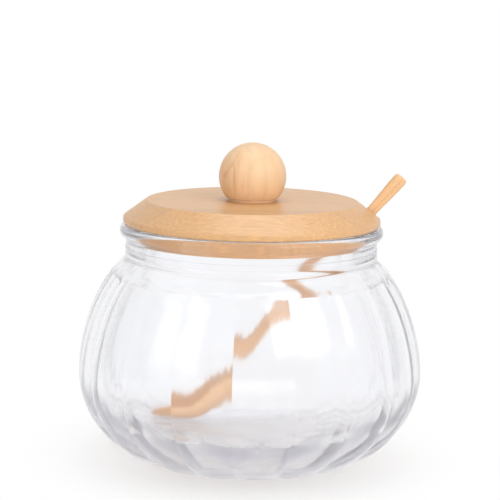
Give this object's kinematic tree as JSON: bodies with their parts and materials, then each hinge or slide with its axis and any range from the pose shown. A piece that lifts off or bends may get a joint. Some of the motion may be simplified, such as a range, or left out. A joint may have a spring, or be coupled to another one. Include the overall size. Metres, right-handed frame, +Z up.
{
  "type": "sugar jar with lid and spoon",
  "caption": "Lobed clear-glass sugar jar with a lift-off bamboo lid, a wooden ball knob and a wooden spoon that leans out through a notch in the lid's edge.",
  "frame": {"origin": "centre of the jar's foot, on the surface it stands on", "axes": "+Z up along the jar's axis; -Y is the front that faces the viewer; the spoon's handle comes out on the +X side, 8 degrees towards +Y"},
  "size_m": [0.0998, 0.0998, 0.0923],
  "materials": {
    "clear_glass": "clear pressed glass, polished",
    "bamboo": "fine sanded bamboo strips, clear matt oil",
    "knob_wood": "turned and polished pale wood",
    "spoon_wood": "sanded wood, clear matt oil",
    "screw_steel": "bright zinc-plated steel"
  },
  "bodies": {
    "jar": {"glass_jar": "clear_glass"},
    "lid_with_knob": {"lid": "bamboo", "knob": "knob_wood", "knob_screw": "screw_steel"},
    "spoon": {"spoon": "spoon_wood"}
  },
  "joints": [
    {"name": "lid_lift", "type": "slide", "parent": "jar", "child": "lid_with_knob", "axis": [0, 0, 1], "range_m": [0, 0.08]},
    {"name": "spoon_draw", "type": "slide", "parent": "jar", "child": "spoon", "axis": [0.6562, 0.0922, 0.749], "range_m": [0, 0.045]}
  ]
}
